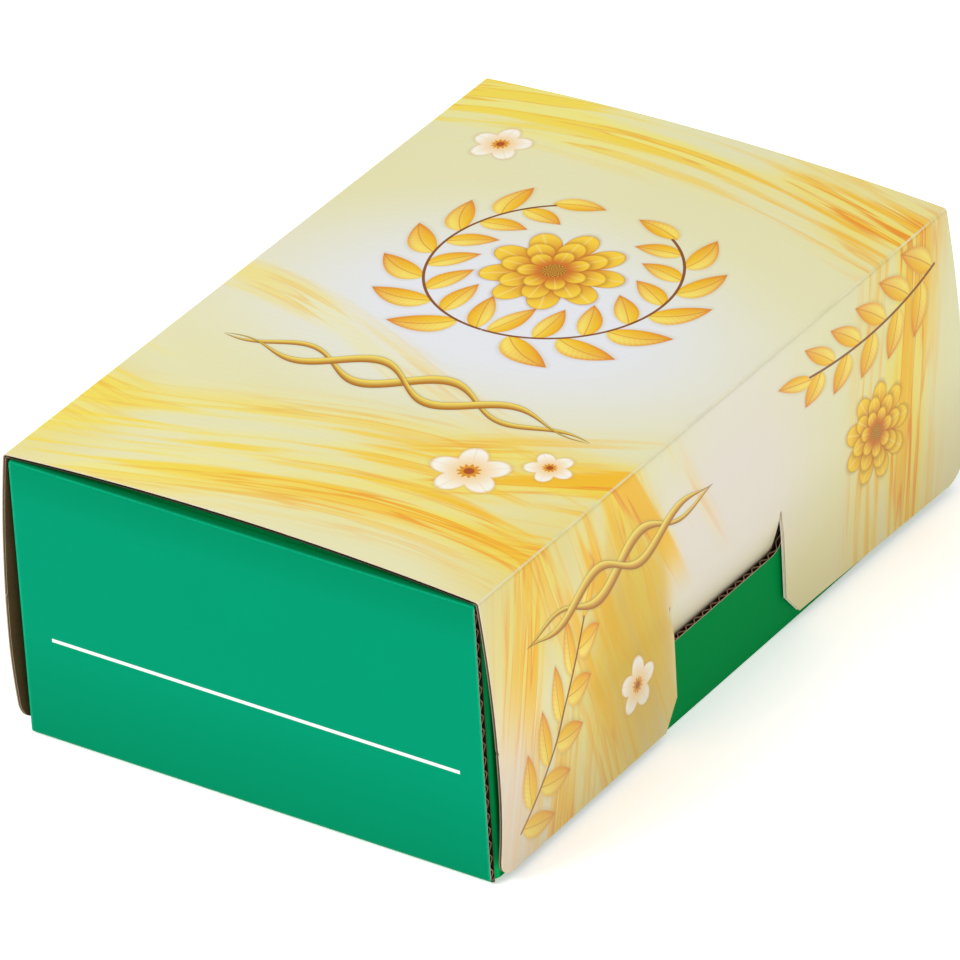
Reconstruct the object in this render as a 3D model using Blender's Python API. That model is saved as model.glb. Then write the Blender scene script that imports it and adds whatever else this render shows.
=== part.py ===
"""A fruit carton in two pieces: a corrugated tray, and a printed cover that slips over it.

The tray is one folded sheet: a floor, two side walls whose ends turn round the corners as
glued tabs, and two end walls that roll over those tabs. Each side wall has a hand hole.
The cover is a top with two long side panels. The middle of each panel is slit free as a
tab, which tucks through the hand hole and behind the wall below it. The wings on either
side of the tab hang outside the wall and spring away from it.
"""

import math

import bmesh
import bpy
from mathutils import Vector

# Driving dimensions in metres: X across the carton, Y along it, Z up from where it stands.
TRAY_LENGTH = 0.325
TRAY_WIDTH = 0.210
TRAY_HEIGHT = 0.1225
TRAY_BOARD = 0.0028
TRAY_CORNER_RADIUS = 0.004
TRAY_FOLD_RADIUS = 0.0025
END_WALL_LAYERS = 3

HAND_HOLE_HALF_WIDTH = 0.0440
HAND_HOLE_BOTTOM = 0.0353
HAND_HOLE_TOP = 0.0653
HAND_HOLE_RADIUS = 0.010

COVER_LENGTH = 0.325
COVER_WIDTH = 0.215
COVER_BOARD = 0.0015
COVER_CREASE_RADIUS = 0.0018
NEAR_CROWN = 0.0042
FAR_CROWN = 0.0041
END_BOW = 0.0051
NEAR_FLARE = 0.0016
FAR_FLARE = 0.0007
FLARE_SHARE = 0.1
BOW_PEAK = 0.65
BOW_RETURN = 0.67
BOW_SPREAD = 1.3
HUG_SHARE = 0.4

NEAR_CLEARANCE = 0.0029
FAR_CLEARANCE = 0.0031
FAR_LIFT = 0.0013
PANEL_CORNER_RADIUS = 0.009
TAB_HALF_WIDTH = 0.0386
SLIT_WIDTH = 0.0008
SLIT_TOP = 0.0537
ROOT_DISH = 0.005
TAB_LEAN = 1.25
TAB_SETTLE = 0.0015
TAB_RELIEF = 0.0005
TAB_LOWER_EDGE = 0.022
TAB_CORNER_RADIUS = 0.008
WING_CHAMFER_RUN = 0.0085
NEAR_CHAMFER_RISE = 0.0115
FAR_CHAMFER_RISE = 0.0101

FIT_GAP = 0.0003

# Sizes that follow from the driving ones.
COVER_TOP = TRAY_HEIGHT + FIT_GAP + COVER_BOARD
CREASE_LEVEL = COVER_TOP - COVER_CREASE_RADIUS
FLAT_HALF_WIDTH = COVER_WIDTH / 2 - COVER_CREASE_RADIUS
CREASE_ARC = COVER_CREASE_RADIUS * math.pi / 2
SIDE_GIRTH = FLAT_HALF_WIDTH + CREASE_ARC
SLIT_GIRTH = SIDE_GIRTH + CREASE_LEVEL - SLIT_TOP
WING_INNER_EDGE = TAB_HALF_WIDTH + SLIT_WIDTH
HUG = COVER_WIDTH / 2 - (TRAY_WIDTH / 2 + FIT_GAP + COVER_BOARD)
TUCKED_FACE = TRAY_WIDTH / 2 - TRAY_BOARD - FIT_GAP
TUCK_LEVEL = HAND_HOLE_BOTTOM + TAB_RELIEF
SLIT_SHARE = 1 - SLIT_TOP / CREASE_LEVEL

# How finely the solids are divided.
TOP_STRIPS = 6
CREASE_STRIPS = 3
PANEL_STRIPS = 6
SKIRT_STRIPS = 8
WING_SPANS = 5
ARC_STEPS = 4
SLOPE_STEP = 0.0002

GREEN = (0.0, 0.353, 0.144, 1.0)
CREAM = (0.791, 0.776, 0.485, 1.0)


def clear_scene():
    """Removes whatever objects the file starts with."""
    for obj in list(bpy.data.objects):
        bpy.data.objects.remove(obj, do_unlink=True)


def material(name, colour, roughness):
    """Makes one plain coated-board material."""
    made = bpy.data.materials.new(name)
    made.use_nodes = True
    shader = made.node_tree.nodes["Principled BSDF"]
    shader.inputs["Base Color"].default_value = colour
    shader.inputs["Roughness"].default_value = roughness
    shader.inputs["Metallic"].default_value = 0.0
    return made


def add_object(name, form):
    """Puts a bmesh in the scene as an object."""
    mesh = bpy.data.meshes.new(name)
    form.to_mesh(mesh)
    form.free()
    obj = bpy.data.objects.new(name, mesh)
    bpy.context.scene.collection.objects.link(obj)
    return obj


def add_cutter(name, form):
    """Puts a bmesh in the scene as a guide that only cuts."""
    cutter = add_object(name, form)
    cutter.hide_render = True
    cutter.display_type = "WIRE"
    return cutter


def add_boolean(obj, cutter, operation):
    """Cuts one object with another, or keeps only what they share."""
    modifier = obj.modifiers.new(cutter.name, "BOOLEAN")
    modifier.operation = operation
    modifier.solver = "EXACT"
    modifier.object = cutter


def arc_points(centre, radius, start, end, steps):
    """Lists points along an arc; angles are in degrees."""
    points = []
    for step in range(steps + 1):
        angle = math.radians(start + (end - start) * step / steps)
        points.append((centre[0] + radius * math.cos(angle), centre[1] + radius * math.sin(angle)))
    return points


def extrude_outline(outline, to_point, direction):
    """Makes a prism from an outline of 2-D points."""
    form = bmesh.new()
    face = form.faces.new([form.verts.new(to_point(a, b)) for a, b in outline])
    swept = bmesh.ops.extrude_face_region(form, geom=[face])
    moved = [item for item in swept["geom"] if isinstance(item, bmesh.types.BMVert)]
    bmesh.ops.translate(form, vec=direction, verts=moved)
    bmesh.ops.recalc_face_normals(form, faces=form.faces)
    return form


def box(low, high):
    """Makes a box between two corners."""
    outline = [(low[0], low[1]), (high[0], low[1]), (high[0], high[1]), (low[0], high[1])]
    return extrude_outline(outline, lambda x, y: Vector((x, y, low[2])), Vector((0, 0, high[2] - low[2])))


def prism_across(outline):
    """Makes a prism along X that reaches past both sides of the tray."""
    start = -TRAY_WIDTH
    return extrude_outline(outline, lambda y, z: Vector((start, y, z)), Vector((2 * TRAY_WIDTH, 0, 0)))


def rounded_outline(low, high, radius):
    """Outline of a rectangle with round corners, counter-clockwise."""
    corners = (
        (high[0] - radius, low[1] + radius, -90),
        (high[0] - radius, high[1] - radius, 0),
        (low[0] + radius, high[1] - radius, 90),
        (low[0] + radius, low[1] + radius, 180),
    )
    outline = []
    for a, b, start in corners:
        outline += arc_points((a, b), radius, start, start + 90, ARC_STEPS)
    return outline


def tray_corner(side, end):
    """Plan points at one corner of the tray, from the end face round to the side face.

    The end wall is a flat panel with raw vertical edges. Behind it the side wall turns
    the corner in a round fold, which leaves a groove behind the raw edge.
    """
    half_width = TRAY_WIDTH / 2
    half_length = TRAY_LENGTH / 2
    fold_x = half_width - TRAY_CORNER_RADIUS
    fold_y = half_length - TRAY_BOARD - TRAY_CORNER_RADIUS
    points = [(half_width, half_length), (half_width, half_length - TRAY_BOARD)]
    points += arc_points((fold_x, fold_y), TRAY_CORNER_RADIUS, 90, 0, ARC_STEPS)
    return [(side * x, end * y) for x, y in points]


def tray_outline():
    """Plan outline of the tray, counter-clockwise."""
    outline = list(reversed(tray_corner(1, 1))) + tray_corner(-1, 1)
    outline += list(reversed(tray_corner(-1, -1))) + tray_corner(1, -1)
    return outline


def make_tray():
    """The tray: a folded sheet whose glued layers are one solid.

    One guide rounds the folds at the floor and over the end walls, one empties the inside,
    and one cuts the hand hole through both side walls.
    """
    form = extrude_outline(tray_outline(), lambda x, y: Vector((x, y, 0)), Vector((0, 0, TRAY_HEIGHT)))
    tray = add_object("tray", form)
    half_length = TRAY_LENGTH / 2
    folds = rounded_outline((-half_length, 0), (half_length, TRAY_HEIGHT), TRAY_FOLD_RADIUS)
    hole_low = (-HAND_HOLE_HALF_WIDTH, HAND_HOLE_BOTTOM)
    hole_high = (HAND_HOLE_HALF_WIDTH, HAND_HOLE_TOP)
    hole = rounded_outline(hole_low, hole_high, HAND_HOLE_RADIUS)
    inner_x = TRAY_WIDTH / 2 - TRAY_BOARD
    inner_y = half_length - END_WALL_LAYERS * TRAY_BOARD
    above = TRAY_HEIGHT + TRAY_BOARD
    inside = box((-inner_x, -inner_y, TRAY_BOARD), (inner_x, inner_y, above))
    add_boolean(tray, add_cutter("tray_folds", prism_across(folds)), "INTERSECT")
    add_boolean(tray, add_cutter("tray_inside", inside), "DIFFERENCE")
    add_boolean(tray, add_cutter("tray_hand_hole", prism_across(hole)), "DIFFERENCE")
    tray.data.materials.append(material("green_board", GREEN, 0.5))
    return tray


def smooth_step(value):
    """Eases from 0 to 1 with level ends."""
    value = min(max(value, 0.0), 1.0)
    return value * value * (3 - 2 * value)


def crown(x, y):
    """Height by which the cover's top arches above its creases."""
    along = y / COVER_LENGTH + 0.5
    rise = NEAR_CROWN + (FAR_CROWN - NEAR_CROWN) * along
    across = min(abs(x) / (COVER_WIDTH / 2), 1.0)
    return rise * (1 - across * across)


def held_in(down):
    """Offset of a side panel's middle, which the tucked tab draws against the tray."""
    return -HUG * smooth_step(down / HUG_SHARE)


def bow(y, z):
    """Outward offset of a wing: flared beside the tab, and sprung out at the cover's ends."""
    down = min(max(1 - z / CREASE_LEVEL, 0.0), 1.0)
    below_peak = max(down - BOW_PEAK, 0.0) / (1 - BOW_PEAK)
    above_peak = max(1 - down / BOW_PEAK, 0.0)
    sprung = END_BOW * (1 - above_peak**2 - BOW_RETURN * below_peak**2)
    flare = NEAR_FLARE if y < 0 else FAR_FLARE
    held = held_in(down) + flare * smooth_step((down - SLIT_SHARE) / FLARE_SHARE)
    free = max(abs(y) - WING_INNER_EDGE, 0.0) / (COVER_LENGTH / 2 - WING_INNER_EDGE)
    return held + (sprung - held) * free**BOW_SPREAD


def tuck(y, z):
    """Inward offset of the tab on its way through the hand hole.

    It starts from a dished root, leans in more and more until it meets the wall's edge,
    and straightens again just below, where the wall hides it.
    """
    root = SLIT_TOP + ROOT_DISH * max(1 - (y / TAB_HALF_WIDTH) ** 2, 0.0)
    reach = root - TUCK_LEVEL
    drop = max(root - z, 0.0) / reach
    travel = COVER_WIDTH / 2 - HUG - TUCKED_FACE
    below = max(TUCK_LEVEL - z, 0.0)
    slope = travel * TAB_LEAN / reach
    settled = slope * TAB_SETTLE * (1 - math.exp(-below / TAB_SETTLE))
    return travel * min(drop, 1.0) ** TAB_LEAN + settled


def cover_face(girth, y, tab):
    """Point on the cover's outer face, from the distance round it from the top's middle."""
    side = -1.0 if girth < 0 else 1.0
    girth = abs(girth)
    if girth <= FLAT_HALF_WIDTH:
        return Vector((side * girth, y, COVER_TOP + crown(girth, y)))
    if girth <= SIDE_GIRTH:
        angle = (girth - FLAT_HALF_WIDTH) / COVER_CREASE_RADIUS
        x = FLAT_HALF_WIDTH + COVER_CREASE_RADIUS * math.sin(angle)
        z = CREASE_LEVEL + COVER_CREASE_RADIUS * math.cos(angle)
        return Vector((side * x, y, z + crown(x, y)))
    z = CREASE_LEVEL - (girth - SIDE_GIRTH)
    offset = held_in(1 - z / CREASE_LEVEL) - tuck(y, z) if tab else bow(y, z)
    return Vector((side * (COVER_WIDTH / 2 + offset), y, z))


def cover_point(girth, y, tab, depth):
    """Point at a depth under the cover's outer face, straight in from it in its own section."""
    across = cover_face(girth + SLOPE_STEP, y, tab) - cover_face(girth - SLOPE_STEP, y, tab)
    normal = across.cross(Vector((0, 1, 0))).normalized()
    return cover_face(girth, y, tab) - normal * depth


def wing_edge(y):
    """Height of a wing's lower edge, with its round outer corner and its chamfer.

    The far wing's edge rises a little from the cover's end towards the slit.
    """
    from_end = COVER_LENGTH / 2 - abs(y)
    from_slit = abs(y) - WING_INNER_EDGE
    clearance, rise = NEAR_CLEARANCE, NEAR_CHAMFER_RISE
    if y > 0:
        clearance = FAR_CLEARANCE + FAR_LIFT * from_end / (from_end + from_slit)
        rise = FAR_CHAMFER_RISE
    radius = PANEL_CORNER_RADIUS
    if from_end < radius:
        return clearance + radius - math.sqrt(max(radius**2 - (radius - from_end) ** 2, 0.0))
    if from_slit < WING_CHAMFER_RUN:
        return clearance + rise * (1 - from_slit / WING_CHAMFER_RUN)
    return clearance


def tab_edge(y):
    """Height of the tab's lower edge, with its two round corners."""
    inset = TAB_CORNER_RADIUS - (TAB_HALF_WIDTH - abs(y))
    if inset <= 0:
        return TAB_LOWER_EDGE
    return TAB_LOWER_EDGE + TAB_CORNER_RADIUS - math.sqrt(max(TAB_CORNER_RADIUS**2 - inset**2, 0.0))


def round_corner_offsets(radius):
    """Distances from a corner at which a round corner is divided."""
    return [radius * (1 - math.cos(math.radians(90) * step / ARC_STEPS)) for step in range(ARC_STEPS + 1)]


def cover_columns():
    """Lists the columns across the cover along Y, each as its place and whether it is tab."""
    half = COVER_LENGTH / 2
    wing = [half - offset for offset in round_corner_offsets(PANEL_CORNER_RADIUS)]
    inner = WING_INNER_EDGE + WING_CHAMFER_RUN
    outer = half - PANEL_CORNER_RADIUS
    wing += [outer + (inner - outer) * step / WING_SPANS for step in range(1, WING_SPANS)]
    wing += [inner, WING_INNER_EDGE]
    tab = [TAB_HALF_WIDTH - offset for offset in round_corner_offsets(TAB_CORNER_RADIUS)]
    tab += [tab[-1] / 2]
    columns = [(-y, False) for y in wing] + [(-y, True) for y in tab] + [(0.0, True)]
    columns += [(y, True) for y in reversed(tab)] + [(y, False) for y in reversed(wing)]
    return columns


def cover_rows():
    """Lists the rows of half of the cover, as fixed girths and then as shares of the skirt."""
    rows = [("girth", FLAT_HALF_WIDTH * step / TOP_STRIPS) for step in range(TOP_STRIPS + 1)]
    turn = CREASE_ARC / CREASE_STRIPS
    rows += [("girth", FLAT_HALF_WIDTH + turn * step) for step in range(1, CREASE_STRIPS + 1)]
    drop = SLIT_GIRTH - SIDE_GIRTH
    rows += [("girth", SIDE_GIRTH + drop * step / PANEL_STRIPS) for step in range(1, PANEL_STRIPS + 1)]
    rows += [("skirt", step / SKIRT_STRIPS) for step in range(1, SKIRT_STRIPS + 1)]
    return rows


def row_girth(row, y, tab):
    """Girth of a row in one column."""
    kind, value = row
    if kind == "girth":
        return value
    edge = tab_edge(y) if tab else wing_edge(y)
    lowest = SIDE_GIRTH + CREASE_LEVEL - edge
    return SLIT_GIRTH + (lowest - SLIT_GIRTH) * value


def make_cover():
    """The cover: one sheet of even thickness, with a slit on either side of each tab."""
    half_rows = cover_rows()
    rows = [(-1, row) for row in reversed(half_rows[1:])] + [(1, row) for row in half_rows]
    columns = cover_columns()
    form = bmesh.new()
    grid = {}
    for i, (side, row) in enumerate(rows):
        for j, (y, tab) in enumerate(columns):
            girth = side * row_girth(row, y, tab)
            for layer, depth in (("outer", 0.0), ("inner", COVER_BOARD)):
                grid[i, j, layer] = form.verts.new(cover_point(girth, y, tab, depth))
    cells = []
    for i in range(len(rows) - 1):
        for j in range(len(columns) - 1):
            skirt = "skirt" in (rows[i][1][0], rows[i + 1][1][0])
            slit = columns[j][1] != columns[j + 1][1]
            if not (skirt and slit):
                cells.append((i, j))
    uses = {}
    for i, j in cells:
        ring = [(i, j), (i + 1, j), (i + 1, j + 1), (i, j + 1)]
        for triangle in ((0, 1, 2), (0, 2, 3)):
            form.faces.new([grid[(*ring[k], "outer")] for k in triangle])
            form.faces.new([grid[(*ring[k], "inner")] for k in reversed(triangle)])
        for k in range(4):
            edge = (ring[k], ring[(k + 1) % 4])
            uses[edge] = True
    for start, end in uses:
        if (end, start) not in uses:
            a, b = grid[(*start, "outer")], grid[(*end, "outer")]
            c, d = grid[(*end, "inner")], grid[(*start, "inner")]
            form.faces.new((b, a, c))
            form.faces.new((a, d, c))
    loose = [vert for vert in form.verts if not vert.link_faces]
    bmesh.ops.delete(form, geom=loose, context="VERTS")
    cover = add_object("cover", form)
    cover.data.materials.append(material("printed_board", CREAM, 0.4))
    return cover


def main():
    """Builds the carton, closed, with the cover's tabs tucked in."""
    clear_scene()
    make_tray()
    make_cover()


main()
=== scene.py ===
# %% [markdown]
# # A fruit carton: a corrugated tray under a printed cover
# The carton is two folded boards. The tray is green and open at the top. The cover is a
# top with two long side panels, and the middle of each panel is cut free as a tab that
# tucks through the tray's hand hole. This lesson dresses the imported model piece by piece:
# the cover is cut flat and folded by a node tree, the tray is cut from a prism, and one
# more tree grows the flutes that show wherever a board has a raw edge.

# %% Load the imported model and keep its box
import math

import bmesh
import bpy
from mathutils import Matrix, Vector


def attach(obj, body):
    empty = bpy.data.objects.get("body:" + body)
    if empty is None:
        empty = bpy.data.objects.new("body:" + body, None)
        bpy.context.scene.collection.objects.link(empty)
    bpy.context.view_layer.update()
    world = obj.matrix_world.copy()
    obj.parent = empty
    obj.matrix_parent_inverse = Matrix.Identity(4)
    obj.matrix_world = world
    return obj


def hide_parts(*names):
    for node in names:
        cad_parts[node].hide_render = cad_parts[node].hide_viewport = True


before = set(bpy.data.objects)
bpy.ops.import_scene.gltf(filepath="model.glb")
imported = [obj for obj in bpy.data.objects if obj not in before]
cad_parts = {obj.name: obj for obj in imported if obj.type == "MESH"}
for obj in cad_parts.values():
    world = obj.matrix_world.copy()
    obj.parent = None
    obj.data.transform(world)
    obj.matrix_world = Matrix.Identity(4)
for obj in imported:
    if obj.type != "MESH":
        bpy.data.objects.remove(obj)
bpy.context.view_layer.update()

MM = 0.001

# %% [markdown]
# ## The camera
# The photograph was taken with a long lens, so the carton's edges hardly converge. The
# camera's direction, distance and small tilt were found by fitting the carton's corners.
# The camera looks at a point inside the carton, and a small shift frames it as pictured.

# %% Place the camera
AZIMUTH, ELEVATION, TILT = math.radians(35.542), math.radians(31.5), math.radians(-3.444)
LOOKED_AT = Vector((0, 0, 62 * MM))
CAMERA_DISTANCE = 3.8908
IMAGE_SIDE = 960
FOCAL_PIXELS = 10155
SENSOR_WIDTH = 36
FRAMING_RIGHT, FRAMING_UP = 10.258, 11.316


def view_axes():
    """The camera's right, up and backward directions."""
    level = math.cos(ELEVATION)
    back = Vector((math.sin(AZIMUTH) * level, -math.cos(AZIMUTH) * level, math.sin(ELEVATION)))
    right = Vector((0, 0, 1)).cross(back).normalized()
    up = back.cross(right)
    turn, lean = math.cos(TILT), math.sin(TILT)
    return right * turn + up * lean, up * turn - right * lean, back


def place_camera():
    """Makes the camera that sees the carton as the photograph does."""
    camera = bpy.data.objects.new("camera", bpy.data.cameras.new("camera"))
    bpy.context.scene.collection.objects.link(camera)
    right, up, back = view_axes()
    camera.matrix_world = Matrix((right, up, back)).transposed().to_4x4()
    camera.location = LOOKED_AT + back * CAMERA_DISTANCE
    camera.data.sensor_width = SENSOR_WIDTH
    camera.data.lens = SENSOR_WIDTH * FOCAL_PIXELS / IMAGE_SIDE
    camera.data.shift_x, camera.data.shift_y = -FRAMING_RIGHT / IMAGE_SIDE, -FRAMING_UP / IMAGE_SIDE
    bpy.context.scene.camera = camera
    return camera


camera = place_camera()
print("camera at", [round(v, 3) for v in camera.location], "lens", round(camera.data.lens, 1), "mm")

# %% [markdown]
# ## Sums in node trees
# Both the folds and the finishes follow formulas, and a formula takes many small math
# nodes. This class makes a node for each sum, so that a formula can be written as usual.
# It works alike in a geometry tree and in a material.

# %% Write formulas as nodes
class Figure:
    """A number in a node tree, which adds and multiplies as a plain number does."""

    def __init__(self, tree, socket):
        self.tree, self.socket = tree, socket

    def math(self, operation, *others, clamp=False):
        """Makes one math node on this number and the others."""
        node = self.tree.nodes.new("ShaderNodeMath")
        node.operation, node.use_clamp = operation, clamp
        for slot, value in zip(node.inputs, (self, *others)):
            feed(self.tree, slot, value)
        return Figure(self.tree, node.outputs[0])

    def __add__(self, other):
        return self.math("ADD", other)

    def __sub__(self, other):
        return self.math("SUBTRACT", other)

    def __mul__(self, other):
        return self.math("MULTIPLY", other)

    def __truediv__(self, other):
        return self.math("DIVIDE", other)

    def __pow__(self, other):
        return self.math("POWER", other)

    def __abs__(self):
        return self.math("ABSOLUTE")

    def __rsub__(self, other):
        return self * -1 + other

    __radd__, __rmul__ = __add__, __mul__


def feed(tree, slot, value):
    """Gives a socket a number, or links it to the socket that a number comes from."""
    if isinstance(value, Figure):
        value = value.socket
    if isinstance(value, bpy.types.NodeSocket):
        tree.links.new(value, slot)
    else:
        slot.default_value = value


def above(figure, least):
    """The number, but never less than this."""
    return figure.math("MAXIMUM", least)


def below(figure, most):
    """The number, but never more than this."""
    return figure.math("MINIMUM", most)


def clamped(figure):
    """The number held between 0 and 1."""
    return figure.math("ADD", 0.0, clamp=True)


def ramp(figure, start, end):
    """Goes from 0 at start to 1 at end, with level ends."""
    node = figure.tree.nodes.new("ShaderNodeMapRange")
    node.interpolation_type = "SMOOTHSTEP"
    for slot, value in zip(node.inputs, (figure, start, end)):
        feed(figure.tree, slot, value)
    return Figure(figure.tree, node.outputs[0])


def fade(figure, start, end):
    """Goes from 1 at start to 0 at end, with level ends."""
    return 1 - ramp(figure, start, end)


def eased(figure):
    """Goes from 0 to 1 with level ends."""
    return ramp(figure, 0.0, 1.0)


def ripple(figure, pitch):
    """A wave from -1 to 1 that repeats at a pitch."""
    return (figure * (2 * math.pi / pitch)).math("SINE")


# %% [markdown]
# ## The rule that folds the cover
# A folded sheet is easiest to draw flat, as it was cut, and then to fold. On the flat
# sheet, X is the distance round the cover from the middle of its top, Y runs along it,
# and Z goes down from the printed face into the board. The top arches a little, the
# creases are round, the wings spring away from the tray, and the tabs lean in through the
# hand holes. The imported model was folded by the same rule, with fewer faces.

# %% Sizes of the cover
COVER_LENGTH, COVER_WIDTH, COVER_BOARD = 325 * MM, 215 * MM, 1.5 * MM
CREASE_RADIUS = 1.8 * MM
TRAY_LENGTH, TRAY_WIDTH, TRAY_HEIGHT, TRAY_BOARD = 325 * MM, 210 * MM, 122.5 * MM, 2.8 * MM
FIT_GAP = 0.3 * MM
COVER_TOP = TRAY_HEIGHT + FIT_GAP + COVER_BOARD
CREASE_LEVEL = COVER_TOP - CREASE_RADIUS
FLAT_HALF_WIDTH = COVER_WIDTH / 2 - CREASE_RADIUS
SIDE_GIRTH = FLAT_HALF_WIDTH + CREASE_RADIUS * math.pi / 2
HUG = COVER_WIDTH / 2 - (TRAY_WIDTH / 2 + FIT_GAP + COVER_BOARD)
TUCKED_FACE = TRAY_WIDTH / 2 - TRAY_BOARD - FIT_GAP

HAND_HOLE_HALF_WIDTH, HAND_HOLE_RADIUS = 44 * MM, 10 * MM
HAND_HOLE_BOTTOM, HAND_HOLE_TOP = 35.3 * MM, 65.3 * MM

TAB_HALF_WIDTH, SLIT_WIDTH, SLIT_TOP = 38.6 * MM, 0.8 * MM, 53.7 * MM
ROOT_DISH, TAB_LEAN, TAB_SETTLE, TAB_RELIEF = 5 * MM, 1.25, 1.5 * MM, 0.5 * MM
TUCK_LEVEL = HAND_HOLE_BOTTOM + TAB_RELIEF
WING_INNER_EDGE = TAB_HALF_WIDTH + SLIT_WIDTH
BOW_PEAK, BOW_RETURN, BOW_SPREAD, HUG_SHARE = 0.65, 0.67, 1.3, 0.4
SLIT_SHARE, FLARE_SHARE = 1 - SLIT_TOP / CREASE_LEVEL, 0.1

FOLD_SIZES = {
    "Near Crown": 4.2 * MM,
    "Far Crown": 4.1 * MM,
    "End Bow": 5.1 * MM,
    "Near Flare": 1.6 * MM,
    "Far Flare": 0.7 * MM,
}


# %% The fold as formulas
def crown(x, y, sizes):
    """Height by which the top arches above its creases."""
    along = y / COVER_LENGTH + 0.5
    rise = sizes["Near Crown"] + (sizes["Far Crown"] - sizes["Near Crown"]) * along
    across = x / (COVER_WIDTH / 2)
    return rise * (1 - across * across)


def bow(y, down, held, sizes):
    """Outward offset of a wing, flared beside the tab and sprung out at the ends."""
    below_peak = above(down - BOW_PEAK, 0) / (1 - BOW_PEAK)
    above_peak = above(1 - down / BOW_PEAK, 0)
    sprung = (1 - above_peak * above_peak - below_peak * below_peak * BOW_RETURN) * sizes["End Bow"]
    flare = (sizes["Near Flare"] - sizes["Far Flare"]) * y.math("LESS_THAN", 0.0) + sizes["Far Flare"]
    beside = held + eased((down - SLIT_SHARE) / FLARE_SHARE) * flare
    free = above(abs(y) - WING_INNER_EDGE, 0) / (COVER_LENGTH / 2 - WING_INNER_EDGE)
    return beside + (sprung - beside) * free**BOW_SPREAD


def tuck(y, z):
    """Inward offset of a tab on its way through the hand hole."""
    across = y / TAB_HALF_WIDTH
    root = above(1 - across * across, 0) * ROOT_DISH + SLIT_TOP
    reach = root - TUCK_LEVEL
    travel = COVER_WIDTH / 2 - HUG - TUCKED_FACE
    drop = clamped((root - z) / reach)
    below_edge = above(TUCK_LEVEL - z, 0)
    settled = (1 - (below_edge / -TAB_SETTLE).math("EXPONENT")) * (travel * TAB_LEAN * TAB_SETTLE)
    return drop**TAB_LEAN * travel + settled / reach


def folded_place(girth, y, is_tab, sizes):
    """Distance from the middle plane and height of the printed face, on either side."""
    turn = below(above((girth - FLAT_HALF_WIDTH) / CREASE_RADIUS, 0), math.pi / 2)
    across = below(girth, FLAT_HALF_WIDTH) + turn.math("SINE") * CREASE_RADIUS
    level = turn.math("COSINE") * CREASE_RADIUS + CREASE_LEVEL + crown(across, y, sizes)
    z = level - above(girth - SIDE_GIRTH, 0)
    down = clamped(1 - z / CREASE_LEVEL)
    held = eased(down / HUG_SHARE) * -HUG
    wing = bow(y, down, held, sizes)
    tab = held - tuck(y, z)
    return across + wing + (tab - wing) * is_tab, z


# %% [markdown]
# ## The folding tree
# A tree moves every point of the flat sheet by that rule. The sheet has two faces, so the
# tree finds the direction square to the folded face from two places a little apart, and
# sets each point its own depth below it. It first stores the flat place of each point as
# an attribute named blank, because the print is drawn on the flat sheet.

# %% Tools for geometry trees
def new_tree(name, sizes):
    """A geometry tree with one named number for each size."""
    tree = bpy.data.node_groups.new(name, "GeometryNodeTree")
    tree.interface.new_socket(name="Geometry", in_out="INPUT", socket_type="NodeSocketGeometry")
    for label, value in sizes.items():
        kind = "NodeSocketInt" if isinstance(value, int) else "NodeSocketFloat"
        tree.interface.new_socket(name=label, in_out="INPUT", socket_type=kind).default_value = value
    tree.interface.new_socket(name="Geometry", in_out="OUTPUT", socket_type="NodeSocketGeometry")
    entry, leave = tree.nodes.new("NodeGroupInput"), tree.nodes.new("NodeGroupOutput")
    figures = {label: Figure(tree, entry.outputs[label]) for label in sizes}
    return tree, entry.outputs["Geometry"], figures, leave.inputs["Geometry"]


def add_node(tree, kind, inputs=None, **settings):
    """Makes one node, with its settings and what its inputs are fed."""
    node = tree.nodes.new(kind)
    for name, value in settings.items():
        setattr(node, name, value)
    for slot, value in (inputs or {}).items():
        feed(tree, node.inputs[slot], value)
    return node


def split(tree, vector):
    """The three numbers of a vector."""
    node = add_node(tree, "ShaderNodeSeparateXYZ", {0: vector})
    return [Figure(tree, socket) for socket in node.outputs]


def joined(tree, x, y, z):
    """A vector from three numbers."""
    return add_node(tree, "ShaderNodeCombineXYZ", {0: x, 1: y, 2: z}).outputs[0]


def vector_math(tree, operation, *values):
    """One sum on vectors."""
    return add_node(tree, "ShaderNodeVectorMath", dict(enumerate(values)), operation=operation).outputs[0]


def stored(tree, geometry, name, value, kind="FLOAT"):
    """Keeps a value on every point, under a name that materials can read."""
    return add_node(tree, "GeometryNodeStoreNamedAttribute", {
        "Geometry": geometry, "Name": name, "Value": value}, data_type=kind, domain="POINT").outputs[0]


def finish_faces(tree, geometry, finishes, leave):
    """Ends a tree: makes all real, and gives each face the material that it is numbered for."""
    geometry = add_node(tree, "GeometryNodeRealizeInstances", {"Geometry": geometry}).outputs[0]
    number = add_node(tree, "GeometryNodeInputNamedAttribute", {"Name": "finish"}, data_type="INT")
    for place, finish in enumerate(finishes):
        pick = add_node(tree, "FunctionNodeCompare", data_type="INT", operation="EQUAL")
        pick_inputs = [slot for slot in pick.inputs if slot.type == "INT"]
        tree.links.new(number.outputs["Attribute"], pick_inputs[0])
        pick_inputs[1].default_value = place
        painted = add_node(tree, "GeometryNodeSetMaterial", {"Geometry": geometry, "Material": finish})
        if len(finishes) > 1:
            tree.links.new(pick.outputs[0], painted.inputs["Selection"])
        geometry = painted.outputs[0]
    tree.links.new(geometry, leave)


def grow(obj, *steps):
    """Runs trees on an object, and leaves it holding their result as a plain mesh."""
    for tree, values in steps:
        modifier = obj.modifiers.new(tree.name, "NODES")
        modifier.node_group = tree
        for item in tree.interface.items_tree:
            if item.in_out == "INPUT" and item.name in values:
                modifier[item.identifier] = values[item.name]
    graph = bpy.context.evaluated_depsgraph_get()
    made = bpy.data.meshes.new_from_object(
        obj.evaluated_get(graph), preserve_all_data_layers=True, depsgraph=graph)
    obj.modifiers.clear()
    obj.data = made
    return obj


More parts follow.
